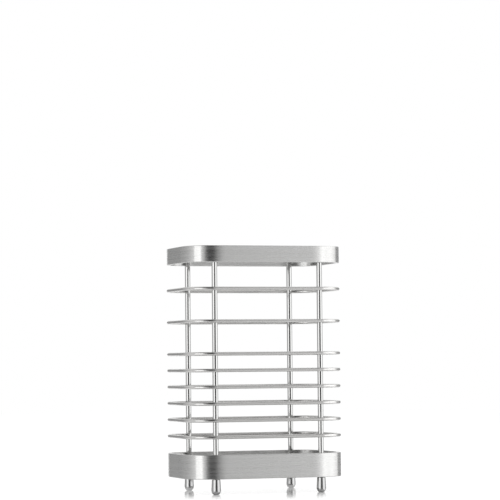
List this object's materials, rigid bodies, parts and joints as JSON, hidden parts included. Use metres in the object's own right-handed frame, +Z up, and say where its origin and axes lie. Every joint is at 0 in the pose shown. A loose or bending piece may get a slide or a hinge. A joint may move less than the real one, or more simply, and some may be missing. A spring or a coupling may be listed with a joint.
{
  "type": "cutlery drainer",
  "caption": "Free-standing rectangular steel wire cutlery drainer with rounded corners, flat top and bottom bands, wire rings, upright rods, bullet feet and a perforated floor.",
  "frame": {"origin": "on the floor, under the middle of the drainer's box", "axes": "+X along the long sides, -Y towards the front, +Z up"},
  "size_m": [0.12, 0.078, 0.179],
  "materials": {
    "brushed_band": "brushed along the band",
    "satin_wire": "satin drawn wire",
    "polished_rod": "polished",
    "polished_foot": "polished",
    "satin_sheet": "satin sheet"
  },
  "bodies": {
    "root": {"top_band": "brushed_band", "bottom_band": "brushed_band", "ring_1": "satin_wire", "ring_2": "satin_wire", "ring_3": "satin_wire", "ring_4": "satin_wire", "ring_5": "satin_wire", "ring_6": "satin_wire", "ring_7": "satin_wire", "ring_8": "satin_wire", "rod_front_left": "polished_rod", "rod_front_right": "polished_rod", "rod_rear_left": "polished_rod", "rod_rear_right": "polished_rod", "foot_front_left": "polished_foot", "foot_front_right": "polished_foot", "foot_rear_left": "polished_foot", "foot_rear_right": "polished_foot", "drain_plate": "satin_sheet"}
  },
  "joints": []
}
